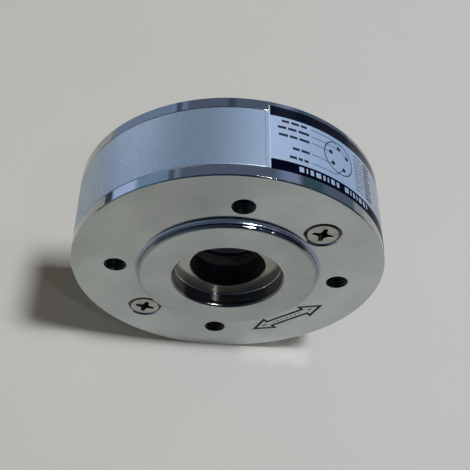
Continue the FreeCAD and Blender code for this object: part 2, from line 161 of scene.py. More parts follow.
def plate(shell, z, outer_r, inner_r, holes, mat=0, grooves=(), groove_mat=0,
          groove_depth=0.0, lip=0.15):
    """Flat ring with round holes, and grooves given as (outer, inner) outlines;
    inner is empty where the whole outline is sunk.  lip is the width of a plain
    ring along both edges."""
    turned(shell, [(outer_r, z), (outer_r - lip, z)], mat)
    turned(shell, [(inner_r + lip, z), (inner_r, z)], mat)
    outer_r, inner_r = outer_r - lip, inner_r + lip
    def ring2(r, x, y, n):
        return [(p[0], p[1]) for p in circle(r, 0, x, y, n)]
    loops = [ring2(outer_r, 0, 0, SEG), ring2(inner_r, 0, 0, SEG)]
    loops += [ring2(r, x, y, n) for x, y, r, n in holes]
    for go, gi in grooves:
        loops += [list(go), list(gi)]
    pts, tris = cdt(loops)
    top, low = [], []
    for t in tris:
        cx = sum(pts[i][0] for i in t) / 3
        cy = sum(pts[i][1] for i in t) / 3
        rr = math.hypot(cx, cy)
        if rr > outer_r or rr < inner_r:
            continue
        if any(math.hypot(cx - x, cy - y) < r for x, y, r, n in holes):
            continue
        if any(inside(go, cx, cy) and not inside(gi, cx, cy) for go, gi in grooves):
            low.append(t)
        else:
            top.append(t)
    shell.add([(x, y, z) for x, y in pts], top, mat)
    if low:
        shell.add([(x, y, z - groove_depth) for x, y in pts], low, groove_mat)
        for go, gi in grooves:
            for lp in (go, gi) if gi else (go,):
                shell.rings([[(x, y, z) for x, y in lp],
                             [(x, y, z - groove_depth) for x, y in lp]], groove_mat)


def thread_wall(shell, x, y, z_mouth, depth, r_minor, r_major, pitch, mouth_r,
                sign, mat, mouth_mat, n=64):
    """Tapped blind hole: chamfered mouth, helical wall and drill point.
    sign is -1 when the hole goes towards smaller z."""
    loops = [circle(mouth_r, z_mouth, x, y, n),
             circle(r_minor, z_mouth + sign * (mouth_r - r_minor), x, y, n)]
    start = mouth_r - r_minor + 0.08
    steps = int((depth - start) / pitch * 10)
    for j in range(steps + 1):
        d = start + (depth - start) * j / steps
        fade = min(1.0, (d - start) / 0.5, (depth - d) / 0.5)
        loop = []
        for i in range(n):
            a = TAU * i / n
            t = (d / pitch - sign * i / n) % 1.0
            w = max(0.0, 1.0 - abs(t - 0.5) / 0.44)
            r = r_minor + (r_major - r_minor) * w * fade
            loop.append((x + r * math.cos(a), y + r * math.sin(a),
                         z_mouth + sign * d))
        loops.append(loop)
    shell.rings(loops[:2], mouth_mat)
    shell.rings(loops[1:], mat)
    shell.fan(loops[-1], (x, y, z_mouth + sign * (depth + r_minor * 0.5)), mat)


# ------------------------------------------------------------------ materials
def new_mat(name):
    m = bpy.data.materials.new(name)
    m.use_nodes = True
    nt = m.node_tree
    return m, nt.nodes, nt.links, nt.nodes["Principled BSDF"]


def ramp(nodes, links, fac, stops):
    r = nodes.new("ShaderNodeValToRGB")
    el = r.color_ramp.elements
    el[0].position, el[0].color = stops[0][0], (*stops[0][1], 1)
    el[1].position, el[1].color = stops[-1][0], (*stops[-1][1], 1)
    for p, c in stops[1:-1]:
        e = el.new(p)
        e.color = (*c, 1)
    links.new(fac, r.inputs["Fac"])
    return r.outputs["Color"]


def noise(nodes, links, vec, scale, detail=4.0, rough=0.5, dims="3D"):
    t = nodes.new("ShaderNodeTexNoise")
    t.noise_dimensions = dims
    t.inputs["Scale"].default_value = scale
    t.inputs["Detail"].default_value = detail
    t.inputs["Roughness"].default_value = rough
    links.new(vec, t.inputs["W" if dims == "1D" else "Vector"])
    return t.outputs["Fac"]


def maprange(nodes, links, v, a, b, c, d):
    n = nodes.new("ShaderNodeMapRange")
    n.inputs["From Min"].default_value = a
    n.inputs["From Max"].default_value = b
    n.inputs["To Min"].default_value = c
    n.inputs["To Max"].default_value = d
    links.new(v, n.inputs["Value"])
    return n.outputs["Result"]


def bump(nodes, links, height, strength, distance, normal=None):
    b = nodes.new("ShaderNodeBump")
    b.inputs["Strength"].default_value = strength
    b.inputs["Distance"].default_value = distance
    links.new(height, b.inputs["Height"])
    if normal is not None:
        links.new(normal, b.inputs["Normal"])
    return b.outputs["Normal"]


def coords(nodes, links, scale=None):
    tc = nodes.new("ShaderNodeTexCoord")
    if scale is None:
        return tc.outputs["Object"]
    mp = nodes.new("ShaderNodeMapping")
    mp.inputs["Scale"].default_value = scale
    links.new(tc.outputs["Object"], mp.inputs["Vector"])
    return mp.outputs["Vector"]


def radius(nodes, links):
    ln = nodes.new("ShaderNodeVectorMath")
    ln.operation = "LENGTH"
    links.new(coords(nodes, links, (1, 0, 1)), ln.inputs[0])
    return ln.outputs["Value"]


def along(nodes, links, axis):
    sp = nodes.new("ShaderNodeSeparateXYZ")
    links.new(coords(nodes, links), sp.inputs[0])
    return sp.outputs[axis]


def times(nodes, links, a, b):
    m = nodes.new("ShaderNodeMix")
    m.data_type = "RGBA"
    m.blend_type = "MULTIPLY"
    m.inputs["Factor"].default_value = 1.0
    links.new(a, m.inputs["A"])
    links.new(b, m.inputs["B"])
    return m.outputs["Result"]


def metal(name, dark, light, r_lo, r_hi, marks=None, mark_scale=9000.0,
          mark_strength=0.05, cloud=60.0, metallic=1.0, painted_slope=None, painted_spots=()):
    """Plated or turned metal: faint clouding, handling marks, turning lines.
    painted_slope gives the ends of a painted light-to-shade gradient across the
    piece, painted_spots lists lighter and darker painted spots as (x, z, radius, tone)."""
    m, n, l, b = new_mat(name)
    b.inputs["Metallic"].default_value = metallic
    vec = coords(n, l)
    big = noise(n, l, vec, cloud, 3.0, 0.55)
    tone = ramp(n, l, big, [(0.32, dark), (0.68, light)])
    # painted light and shade: a slow gradient across the piece
    if painted_slope:
        dot = n.new("ShaderNodeVectorMath")
        dot.operation = "DOT_PRODUCT"
        dot.inputs[1].default_value = (0.79, 0.0, -0.61)
        l.new(vec, dot.inputs[0])
        slope = ramp(n, l, maprange(n, l, dot.outputs["Value"], -0.05, 0.05, 0.0, 1.0),
                     [(0.0, painted_slope[0]), (1.0, painted_slope[1])])
        tone = times(n, l, tone, slope)
    # painted light and shade: soft lighter and darker spots
    for x, z, rad, k in painted_spots:
        gap = n.new("ShaderNodeVectorMath")
        gap.operation = "DISTANCE"
        l.new(coords(n, l, (1, 0, 1)), gap.inputs[0])
        gap.inputs[1].default_value = (x, 0.0, z)
        tone = times(n, l, tone, ramp(n, l, maprange(n, l, gap.outputs["Value"], 0.0, rad,
                                                     0.0, 1.0),
                                      [(0.0, (k, k, k)), (0.45, ((1 + k) / 2,) * 3),
                                       (1.0, (1.0, 1.0, 1.0))]))
    l.new(tone, b.inputs["Base Color"])
    fine = noise(n, l, vec, cloud * 7, 5.0, 0.6)
    l.new(maprange(n, l, fine, 0.25, 0.75, r_lo, r_hi), b.inputs["Roughness"])
    if marks == "radial":
        h = noise(n, l, radius(n, l), mark_scale, 2.0, 0.6, "1D")
        l.new(bump(n, l, h, mark_strength, 2e-5), b.inputs["Normal"])
    elif marks == "axial":
        h = noise(n, l, along(n, l, "Y"), mark_scale, 2.0, 0.6, "1D")
        l.new(bump(n, l, h, mark_strength, 2e-5), b.inputs["Normal"])
    elif marks == "grain":
        h = noise(n, l, vec, mark_scale, 3.0, 0.6)
        l.new(bump(n, l, h, mark_strength, 2e-5), b.inputs["Normal"])
    return m


def blasted(name, dark, light, metallic):
    """Fine blasted and clear-coated alloy: even tone with small bright grains."""
    m, n, l, b = new_mat(name)
    b.inputs["Metallic"].default_value = metallic
    vec = coords(n, l)
    big = noise(n, l, vec, 55.0, 2.0, 0.5)
    tone = ramp(n, l, big, [(0.3, dark), (0.7, light)])
    grain = noise(n, l, vec, 1900.0, 3.0, 0.75)
    fleck = ramp(n, l, grain, [(0.30, (0.84, 0.84, 0.84)), (0.55, (1.0, 1.0, 1.0)),
                               (0.68, (1.26, 1.26, 1.26))])
    l.new(times(n, l, tone, fleck), b.inputs["Base Color"])
    l.new(maprange(n, l, grain, 0.3, 0.7, 0.49, 0.39), b.inputs["Roughness"])
    l.new(bump(n, l, grain, 0.25, 3e-5), b.inputs["Normal"])
    return m


def plastic(name, dark, light, r_lo, r_hi, scale=300.0, strength=0.1, depth=3e-5,
            spec=0.5, fade=None):
    """Plastic, paint or film.  fade lists (x, tone) of painted shade, darker along x."""
    m, n, l, b = new_mat(name)
    b.inputs["Specular IOR Level"].default_value = spec
    vec = coords(n, l)
    t = noise(n, l, vec, scale, 4.0, 0.55)
    tone = ramp(n, l, t, [(0.3, dark), (0.7, light)])
    # painted shade: the tone falls off along x
    if fade:
        tone = times(n, l, tone, ramp(n, l, maprange(n, l, along(n, l, "X"), 0.0, 0.05,
                                                     0.0, 1.0),
                                      [(x / 0.05, c) for x, c in fade]))
    l.new(tone, b.inputs["Base Color"])
    l.new(maprange(n, l, t, 0.3, 0.7, r_lo, r_hi), b.inputs["Roughness"])
    h = noise(n, l, vec, scale * 6, 3.0, 0.6)
    l.new(bump(n, l, h, strength, depth), b.inputs["Normal"])
    return m


# the face metal's gradient and soft spots are painted reflection, lighter and darker where the
# polished face mirrors more or less light
face_metal = metal("plated_face", (0.418, 0.449, 0.438), (0.506, 0.533, 0.521),
                   0.08, 0.16, "radial", 9000.0, 0.04, 60.0, 1.0,
                   ((0.90, 0.905, 0.90), (1.10, 1.10, 1.12)),
                   ((-0.0145, 0.037, 0.022, 0.80), (0.014, 0.037, 0.018, 1.16),
                    (-0.041, -0.004, 0.018, 1.12), (-0.006, -0.031, 0.024, 0.89),
                    (-0.041, 0.018, 0.015, 1.16), (0.040, -0.004, 0.014, 1.07),
                    (-0.025, 0.023, 0.011, 0.88), (0.002, 0.037, 0.012, 1.07)))
# boss face: a darker copy of the face metal with a gradient, painted reflection lighter on one
# side and darker on the other
boss_metal = metal("plated_boss", (0.365, 0.395, 0.39), (0.455, 0.483, 0.475),
                   0.08, 0.16, "radial", 9000.0, 0.04, 60.0, 1.0,
                   ((1.10, 1.10, 1.09), (0.93, 0.92, 0.93)))
corner_metal = metal("dull_corner", (0.27, 0.33, 0.43), (0.34, 0.40, 0.50),
                     0.12, 0.20, "radial", 6000.0, 0.05, 120.0, 0.87)
# register floor: the turning marks are real; the gradient from twice as light to black across
# it is painted light and shade
register_floor_shade = metal("turned_register_painted_shade", (0.38, 0.374, 0.335), (0.48, 0.472, 0.42),
                    0.12, 0.18, "radial", 6000.0, 0.08, 60.0, 0.66,
                    ((2.0, 2.0, 2.0), (0.0, 0.0, 0.0)))
# near-black metal for the register wall and the bore's mouth: painted shade of the recess; the
# turning marks are real
register_wall_shade = metal("register_wall_painted_shade", (0.125, 0.127, 0.128), (0.155, 0.158, 0.158),
                   0.14, 0.22, "axial", 6000.0, 0.08)
rim_metal = metal("plated_rim", (0.415, 0.437, 0.445), (0.45, 0.473, 0.48),
                  0.04, 0.075, "axial", 7000.0, 0.02)
# near-black metal in tapped holes, countersinks, dowel holes and screw recesses: painted
# shade; the thread grain is real
hole_shade_metal = metal("thread_painted_shade", (0.050, 0.049, 0.048), (0.085, 0.083, 0.080),
                   0.26, 0.42, "grain", 4000.0, 0.15, 400.0)
# near-black metal lining the bore: painted shade of the deep hole
bore_shade_metal = metal("bore_painted_shade", (0.018, 0.018, 0.019), (0.030, 0.030, 0.031),
                   0.34, 0.48, "axial", 5000.0, 0.10, 200.0)
# dark metal for the bore sleeve: painted shade deep in the bore
sleeve_shade_metal = metal("sleeve_painted_shade", (0.07, 0.068, 0.071), (0.10, 0.097, 0.101),
                     0.50, 0.65, "axial", 5000.0, 0.10, 200.0)
band_metal = blasted("blasted_band", (0.470, 0.577, 0.680), (0.505, 0.612, 0.715), 0.87)
screw_metal = metal("plated_screw", (0.33, 0.325, 0.305), (0.47, 0.46, 0.43),
                    0.18, 0.30, "grain", 2600.0, 0.12, 350.0)
# rounded boss edge: a darker copy of the rim metal, painted shade, with a lighter spot at the
# bottom, painted highlight
boss_edge_painted_light = metal("boss_edge_painted_light", (0.265, 0.275, 0.285), (0.295, 0.305, 0.315),
                  0.04, 0.075, "axial", 7000.0, 0.02, 60.0, 1.0, None,
                  ((0.0, -0.035, 0.05, 1.55),))
# near-black metal on the screw heads' bevel: painted shade of the gap round the head
gap_shade_metal = metal("screw_gap_painted_shade", (0.046, 0.046, 0.044), (0.066, 0.066, 0.063),
                   0.08, 0.14, "grain", 2600.0, 0.05, 350.0)
ink = plastic("mark_ink", (0.006, 0.006, 0.007), (0.012, 0.012, 0.013), 0.5, 0.65,
              900.0, 0.2, 3e-5, 0.25)
# label white: the fade towards its far end is painted shade
film_white = plastic("label_white", (0.41, 0.535, 0.775), (0.435, 0.565, 0.81),
                     0.12, 0.18, 220.0, 0.05, 3e-5, 0.42,
                     [(0.006, (0.96, 0.97, 0.98)), (0.011, (0.90, 0.91, 0.92)),
                      (0.022, (0.73, 0.79, 0.82)), (0.028, (0.70, 0.76, 0.80)),
                      (0.034, (0.70, 0.74, 0.77)), (0.038, (0.66, 0.67, 0.68)),
                      (0.044, (0.46, 0.47, 0.47))])
# lighter strips along the clear margin's edges: painted highlight where the film edge catches
# light
film_edge_highlight = plastic("label_edge_painted_highlight", (0.50, 0.61, 0.79), (0.57, 0.68, 0.85),
                    0.36, 0.44, 220.0, 0.05, 3e-5, 0.4)
film_black = plastic("label_black", (0.001, 0.0015, 0.009), (0.002, 0.003, 0.013),
                     0.06, 0.10, 300.0, 0.05, 3e-5, 0.20)
film_bar = plastic("label_bar", (0.001, 0.0015, 0.009), (0.002, 0.003, 0.013),
                   0.10, 0.16, 300.0, 0.05, 3e-5, 0.01)
film_grey = plastic("label_line", (0.012, 0.016, 0.030), (0.022, 0.028, 0.044),
                    0.12, 0.18, 300.0, 0.05, 3e-5, 0.4)
rubber = plastic("moulded_rubber", (0.080, 0.076, 0.090), (0.140, 0.133, 0.155),
                 0.55, 0.75, 500.0, 0.3, 5e-5, 0.35)
nickel_brass = metal("receptacle_nickel", (0.60, 0.585, 0.54), (0.68, 0.665, 0.62),
                     0.12, 0.22, "grain", 3000.0, 0.08, 250.0)


# ------------------------------------------------------------ load flange
def offset(poly, d):
    """Polygon (counter-clockwise) moved inwards by d with sharp corners."""
    out = []
    n = len(poly)
    for i in range(n):
        ax, ay = poly[i - 1]
        bx, by = poly[i]
        cx, cy = poly[(i + 1) % n]
        ux, uy = bx - ax, by - ay
        vx, vy = cx - bx, cy - by
        lu, lv = math.hypot(ux, uy), math.hypot(vx, vy)
        ux, uy, vx, vy = ux / lu, uy / lu, vx / lv, vy / lv
        n1, n2 = (-uy, ux), (-vy, vx)
        k = 1.0 + n1[0] * n2[0] + n1[1] * n2[1]
        out.append((bx + d * (n1[0] + n2[0]) / k, by + d * (n1[1] + n2[1]) / k))
    return out


def load_arrow():
    h, w, s = 14.95, 4.25, 2.1
    nck = h - 8.0
    pts = [(0, h), (-w, nck), (-s, nck), (-s, -nck), (-w, -nck), (0, -h),
           (w, -nck), (s, -nck), (s, nck), (w, nck)]
    outer = [(35.3 + a, -1.0 + b) for a, b in pts]
    marks = [(outer, offset(outer, 1.0))]
    # short dashes along the middle of the shaft and in both heads
    for b0, b1, t in ((-10.4, -8.6, 0.30), (8.6, 10.4, 0.30), (-6.0, -5.0, 0.2),
                      (-4.4, -3.1, 0.2), (-2.5, -1.6, 0.2), (-0.9, 0.7, 0.2),
                      (1.4, 2.3, 0.2), (3.0, 4.3, 0.2), (4.9, 5.8, 0.2)):
        marks.append(([(35.3 + a, -1.0 + b)
                       for a, b in ((-t, b0), (t, b0), (t, b1), (-t, b1))], []))
    return marks


sh = Shell()
# boss fillet and rounded edge, boss face, register, its floor, ribbed bore
turned(sh, arc(29.75, 29.85, 0.85, 270, 180, 14), 6)
# the boss's wall and rounded edge take the darker metal with its lighter bottom spot: painted
# shade and highlight
turned(sh, [(28.9, 29.85), (28.9, 29.93), (28.9, 30.25)] +
       arc(27.98, 30.33, 0.92, 0, 90, 14), 9)
turned(sh, [(27.98, 31.25), (27.83, 31.25), (18.1, 31.25)], 7)
# the register wall takes the near-black metal: painted shade
turned(sh, [(18.1, 31.25), (17.98, 31.21), (17.53, 30.78), (17.5, 30.68),
            (17.5, 26.73), (17.5, 26.60)], 8)
turned(sh, arc(17.25, 26.60, 0.25, 0, -90, 12), 1)
# the register floor carries a painted gradient from light to shade
turned(sh, [(17.25, 26.35), (17.1, 26.35), (12.4, 26.35)], 4)
turned(sh, [(12.4, 26.35), (12.28, 26.32), (12.03, 26.08), (12.0, 25.98)], 8)
# the ribbed bore takes the near-black metal: painted shade
ribs = [(12.0, 25.98)]
for i in range(9):
    z = 25.55 - 0.78 * i
    ribs += [(12.0, z), (12.19, z - 0.14), (12.19, z - 0.24), (12.0, z - 0.38)]
turned(sh, ribs + [(12.0, 18.3), (12.5, 17.8)], 5)
# rim, shoulder and back
turned(sh, arc(49.6586, 28.9, 0.1, 90, 45, 6) + arc(49.9, 28.6586, 0.1, 45, 0, 6) +
       [(50.0, 28.55), (50.0, 25.30), (49.98, 25.25), (49.94, 25.21), (49.90, 25.2),
            (48.85, 25.2), (48.85, 24.65), (47.80, 24.65), (47.80, 23.45),
            (48.85, 23.45), (48.85, 23.0), (42.0, 23.0), (42.0, 18.3),
            (41.5, 17.8)], 1)
csk = [(0.0, s * PCD_R) for s in (1, -1)]
dow = [(-s * 10.0, s * 24.0) for s in (1, -1)]
plate(sh, FRONT, 49.6586, 29.75,
      [(x, y, 3.6, 64) for x, y in HOLE_XY] + [(x, y, 6.02, 96) for x, y in csk],
      0, load_arrow(), 3, 0.11)
plate(sh, LOAD_BACK, 41.5, 12.5,
      [(x, y, 3.2, 96) for x, y in csk] + [(x, y, 2.0, 48) for x, y in dow], 0)
# tapped holes, their mouths, countersink cones and dowel holes take the near-black metal:
# painted shade
for x, y in HOLE_XY:
    thread_wall(sh, x, y, FRONT, 8.2, 3.4, 4.0, 1.25, 3.6, -1, 2, 2)
for x, y in csk:
    turned(sh, [(6.02, 29.0), (5.95, 28.97), (5.50, 28.55)], 1, 96, x, y)
    turned(sh, [(5.50, 28.55), (3.2, 26.25), (3.2, 17.8)], 2, 96, x, y)
for x, y in dow:
    turned(sh, [(2.0, 17.8), (2.0, 23.2)], 2, 48, x, y)
    sh.fan(circle(2.0, 23.2, x, y, 48), (x, y, 23.2), 2)
load = sh.build("load_flange_turned",
                [face_metal, rim_metal, hole_shade_metal, ink, register_floor_shade, bore_shade_metal,
                 corner_metal, boss_metal, register_wall_shade, boss_edge_painted_light])
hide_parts("load_flange")
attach(load, "root")

# ------------------------------------------------------------ base flange
sh = Shell()
# the base flange's bore takes the near-black metal: painted shade
turned(sh, [(13.0, 8.5), (13.0, 0.5), (13.5, 0.0)], 3)
turned(sh, arc(49.92, 0.08, 0.08, -90, 0, 8) + [(50.0, 0.25), (50.0, 3.38)] +
       arc(49.88, 3.48, 0.12, 0, 90, 12) + [(49.0, 3.6), (49.0, 4.2),
            (47.95, 4.2), (47.95, 5.4), (49.0, 5.4), (49.0, 5.8), (42.0, 5.8),
            (42.0, 8.0), (41.5, 8.5)], 1)
plate(sh, 0.0, 49.92, 13.5,
      [(x, y, 3.6, 64) for x, y in HOLE_XY] + [(x, y, 4.95, 96) for x, y in M5_XY], 0)
base_dow = [(s * 32.5, 0.0) for s in (1, -1)]
stops = [(s * 10.0, s * 24.0) for s in (1, -1)]
plate(sh, BASE_TOP, 41.5, 13.0,
      [(x, y, 2.75, 96) for x, y in M5_XY] + [(x, y, 2.0, 48) for x, y in base_dow] +
      [(x, y, 2.5, 48) for x, y in stops], 0)
# tapped holes, countersink cones and dowel holes take the near-black metal: painted shade
for x, y in HOLE_XY:
    thread_wall(sh, x, y, 0.0, 6.2, 3.4, 4.0, 1.25, 3.6, 1, 2, 1)
for x, y in M5_XY:
    turned(sh, [(4.95, 0.0), (4.90, 0.02)], 1, 96, x, y)
    turned(sh, [(4.90, 0.02), (4.6, 0.30), (2.75, 2.15), (2.75, 8.5)], 2, 96, x, y)
for x, y, r, z in [(*p, 2.0, 3.5) for p in base_dow] + [(*p, 2.5, 3.0) for p in stops]:
    turned(sh, [(r, 8.5), (r, z)], 2, 48, x, y)
    sh.fan(circle(r, z, x, y, 48), (x, y, z), 2)
base = sh.build("base_flange_turned", [face_metal, rim_metal, hole_shade_metal, bore_shade_metal])
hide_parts("base_flange")
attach(base, "root")


# ------------------------------------------------------------- cover band
def cylinder_sheet(shell, loops, keep, a0, a1, step, z0, z1, r_out, r_in, mats,
                   walled=True):
    """Curved sheet.  The flat pattern has the angle in degrees across and z
    up; keep(a, z) gives the material of a spot, or None where it is open.
    walled=False leaves the sheet's four outer edges open, to be joined on."""
    n = int(round((a1 - a0) / step))
    cuts = [((a0 + (a1 - a0) * i / n, z0), (a0 + (a1 - a0) * i / n, z1))
            for i in range(1, n)]
    frame_loop = [(a0, z0), (a1, z0), (a1, z1), (a0, z1)]
    pts, tris = cdt([frame_loop] + loops, cuts)
    groups = {}
    for t in tris:
        ca = sum(pts[i][0] for i in t) / 3
        cz = sum(pts[i][1] for i in t) / 3
        k = keep(ca, cz)
        if k is not None:
            groups.setdefault(k, []).append(t)
    count, beside = {}, {}
    for k, ts in groups.items():
        for t in ts:
            for i in range(3):
                e = tuple(sorted((t[i], t[(i + 1) % 3])))
                count[e] = count.get(e, 0) + 1
                beside[e] = k

    def at(p, r):
        a = math.radians(p[0])
        return (r * math.cos(a), r * math.sin(a), p[1])
    for k, ts in groups.items():
        shell.add([at(p, r_out) for p in pts], ts, k)
    everything = [t for ts in groups.values() for t in ts]
    shell.add([at(p, r_in) for p in pts], [t[::-1] for t in everything], mats[0])

    def on_border(i, j):
        return any(abs(pts[i][k] - v) < 1e-6 and abs(pts[j][k] - v) < 1e-6
                   for k, v in ((0, a0), (0, a1), (1, z0), (1, z1)))
    for (i, j), c in count.items():
        if c == 1 and (walled or not on_border(i, j)):
            shell.add([at(pts[i], r_out), at(pts[j], r_out),
                       at(pts[j], r_in), at(pts[i], r_in)], [(0, 1, 2, 3)],
                      beside[(i, j)] if beside[(i, j)] in mats[2:] else mats[1])


sh = Shell()
hole = []
for i in range(64):
    c, s = 5.8 * math.cos(TAU * i / 64), 5.8 * math.sin(TAU * i / 64)
    hole.append((math.degrees(math.asin(c / R)), REC_Z + s))
cylinder_sheet(sh, [hole], lambda a, z: None if inside(hole, a, z) else 0,
               -15.0, 15.0, 1.0, 3.90, 24.90, 50.0, 49.0, (0, 0), False)
n_seg = 330
loops = []
for r, z in [(49.0, 3.90), (49.0, 3.75), (49.82, 3.75), (49.95, 3.80), (50.0, 3.90),
             (50.0, 24.90), (49.95, 25.0), (49.82, 25.05), (49.0, 25.05), (49.0, 24.90)]:
    loops.append([(r * math.cos(math.radians(15 + 330.0 * i / n_seg)),
                   r * math.sin(math.radians(15 + 330.0 * i / n_seg)), z)
                  for i in range(n_seg + 1)])
for j in range(len(loops)):
    a, b = loops[j], loops[(j + 1) % len(loops)]
    sh.add(a + b, [(i, i + 1, n_seg + 2 + i, n_seg + 1 + i) for i in range(n_seg)], 0)
for prof in ([(49.0, 3.90), (49.0, 3.75), (49.82, 3.75), (49.95, 3.80), (50.0, 3.90)],
             [(49.0, 24.90), (49.0, 25.05), (49.82, 25.05), (49.95, 25.0), (50.0, 24.90)]):
    arcs = [[(r * math.cos(math.radians(-15 + i)), r * math.sin(math.radians(-15 + i)), z)
             for i in range(31)] for r, z in prof]
    for a, b in zip(arcs, arcs[1:]):
        sh.add(a + b, [(i, i + 1, 32 + i, 31 + i) for i in range(30)], 0)
band = sh.build("cover_band_sleeve", [band_metal])
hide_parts("cover_band")
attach(band, "root")

# ----------------------------------------------------------- wiring label
MM_DEG = 180.0 / (math.pi * 50.12)          # degrees per millimetre on the label
A_LEFT = 2.6                                # row azimuth of the label's first edge


def lab(s, d):
    """Label millimetres (from the first edge, back from the front face) to the
    flat pattern's angle and z."""
    return (135.0 - (A_LEFT + s * MM_DEG), FRONT - d)


def g(a):
    """Angle counted from the label's own zero line, to label millimetres."""
    return (a - 9.52) / MM_DEG


def rect(s0, s1, d0, d1):
    return [lab(s0, d0), lab(s1, d0), lab(s1, d1), lab(s0, d1)]


def disc(s, d, r, n=40):
    return [lab(s + r * math.cos(TAU * i / n), d + r * math.sin(TAU * i / n))
            for i in range(n)]


def stroke(s0, d0, s1, d1, w):
    ux, uy = s1 - s0, d1 - d0
    k = w / 2 / math.hypot(ux, uy)
    px, py = -uy * k, ux * k
    return [lab(s0 + px, d0 + py), lab(s1 + px, d1 + py),
            lab(s1 - px, d1 - py), lab(s0 - px, d0 - py)]


s_end = 94.4 / MM_DEG
s_in = 3.28                 # width of the clear margin at the first edge
shapes = []                 # painted in order, later ones on top
shapes.append((rect(0.0, s_in, 3.85, 25.2), 1))
# the lighter strips along the margin's edges are a painted highlight
shapes.append((rect(0.0, s_in, 3.85, 4.0), 4))
shapes.append((rect(0.0, s_in, 24.9, 25.2), 4))
shapes.append((rect(0.0, s_in - 0.35, 25.2, 27.4), None))
shapes.append((rect(0.0, s_in - 1.35, 3.85, 27.4), None))
shapes.append((rect(s_in - 0.35, s_in, 3.85, 27.4), 4))
shapes.append((rect(s_end - 1.6, s_end, 3.85, 27.4), 1))
shapes.append((rect(s_in, s_end - 1.6, 3.85, 7.40), 5))
shapes.append((rect(s_in, s_end - 1.6, 23.68, 27.4), 2))
# heading in the front bar, as blocks of uneven width
s = g(23.0)
for w in (1.7, 0.6, 1.3, 2.0, 0.9, 0.6, 1.6, 1.2, None, 1.9, 0.6, 1.1, 0.6, 1.7, 1.3, 0.8):
    if w is None:
        s += 1.6
        continue
    shapes.append((rect(s, s + 0.86 * w, 4.80, 6.60), 0))
    s += 0.86 * w + 0.79
# five rows of wire names, as dashes
for d, runs in ((22.25, ((17.3, 20.0), (20.7, 23.6), (24.3, 26.6))),
                (19.75, ((15.9, 18.9), (19.5, 22.6), (23.3, 27.4))),
                (16.95, ((16.1, 19.4), (20.0, 22.8), (23.5, 27.3))),
                (12.75, ((20.9, 23.4), (24.0, 27.2))),
                (9.35, ((19.7, 22.3), (22.9, 24.4), (25.0, 26.6)))):
    for a, b in runs:
        shapes.append((rect(g(a), g(b), d - 0.48, d + 0.48), 3))
# pin diagram
cs, cd, cr = g(40.1), 16.3, 5.8
shapes.append((disc(cs, cd, cr + 0.18, 72), 3))
shapes.append((disc(cs, cd, cr - 0.18, 72), 0))
pins = [(g(36.3), 17.3), (g(40.2), 20.0), (g(37.1), 13.4), (g(44.1), 18.1), (g(42.1), 12.8)]
for (ps, pd), line in zip((pins[3], pins[1], pins[0], pins[2], pins[4]),
                          (22.25, 19.6, 17.1, 12.75, 9.35)):
    knee = min(ps - 1.6, cs - 2.0) if abs(line - pd) > 1.5 else ps - 0.7
    shapes.append((stroke(g(28.2), line, knee, line, 0.24), 3))
    if abs(line - pd) > 0.15:
        shapes.append((stroke(knee, line, ps, pd, 0.24), 3))
for ps, pd in pins:
    shapes.append((disc(ps, pd, 0.72, 28), 2))
# value rows to the right of the diagram, fine dashes and bold ones
for i, (w1, w2, w3) in enumerate(((2.6, 2.0, 5.2), (4.1, 1.0, 4.4), (3.2, 1.8, 5.6),
                                  (2.2, 2.4, 3.9), (4.6, 0.8, 5.0), (2.9, 2.2, 4.6),
                                  (3.8, 1.2, 5.5), (2.4, 2.7, 4.1), (4.3, 0.9, 5.3),
                                  (3.0, 1.6, 4.8))):
    d = 22.0 - 1.4 * i
    for a, w, t, k in ((48.4, w1, 0.22, 3), (48.9 + w1, w2, 0.22, 3), (54.6, w3, 0.42, 2)):
        shapes.append((rect(g(a), g(a + w), d - t, d + t), k))
# two empty boxes and dashes at the far end
for d0, d1 in ((9.4, 13.4), (15.0, 19.0)):
    shapes.append((rect(g(68.0), g(94.0), d0, d1), 3))
    shapes.append((rect(g(68.4), g(93.6), d0 + 0.3, d1 - 0.3), 0))
for a, b in ((68.0, 73.5), (74.5, 78.0), (79.0, 86.5)):
    shapes.append((rect(g(a), g(b), 20.9, 21.8), 3))
boxes = [(min(p[0] for p in q), max(p[0] for p in q), min(p[1] for p in q),
          max(p[1] for p in q)) for q, _ in shapes]


def print_at(a, z):
    got = 0
    for (q, k), (x0, x1, y0, y1) in zip(shapes, boxes):
        if x0 <= a <= x1 and y0 <= z <= y1 and inside(q, a, z):
            got = k
    return got


sh = Shell()
la0, la1 = 135.0 - 97.0, 135.0 - A_LEFT
cylinder_sheet(sh, [q for q, _ in shapes], print_at, la0, la1, 1.5,
               FRONT - 27.4, FRONT - 3.85, 50.12, 50.012, (1, 1, 2, 5))
label = sh.build("wiring_label_print",
                 [film_white, band_metal, film_black, film_grey, film_edge_highlight, film_bar],
                 40.0, 5e-7)
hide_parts("wiring_label")
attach(label, "root")


# ------------------------------------------------------------------ screws
def cross_outline(half, w, f, n=5):
    """Cross with rounded inner corners, counter-clockwise."""
    pts = []
    for q in range(4):
        ca, sa = math.cos(q * math.pi / 2), math.sin(q * math.pi / 2)
        quad = [(half, -w * 0.72), (half + 0.08, 0.0), (half, w * 0.72)]
        for i in range(n + 1):
            a = math.radians(270 - 90.0 * i / n)
            quad.append((w + f + f * math.cos(a), w + f + f * math.sin(a)))
        pts += [(x * ca - y * sa, x * sa + y * ca) for x, y in quad]
    return pts


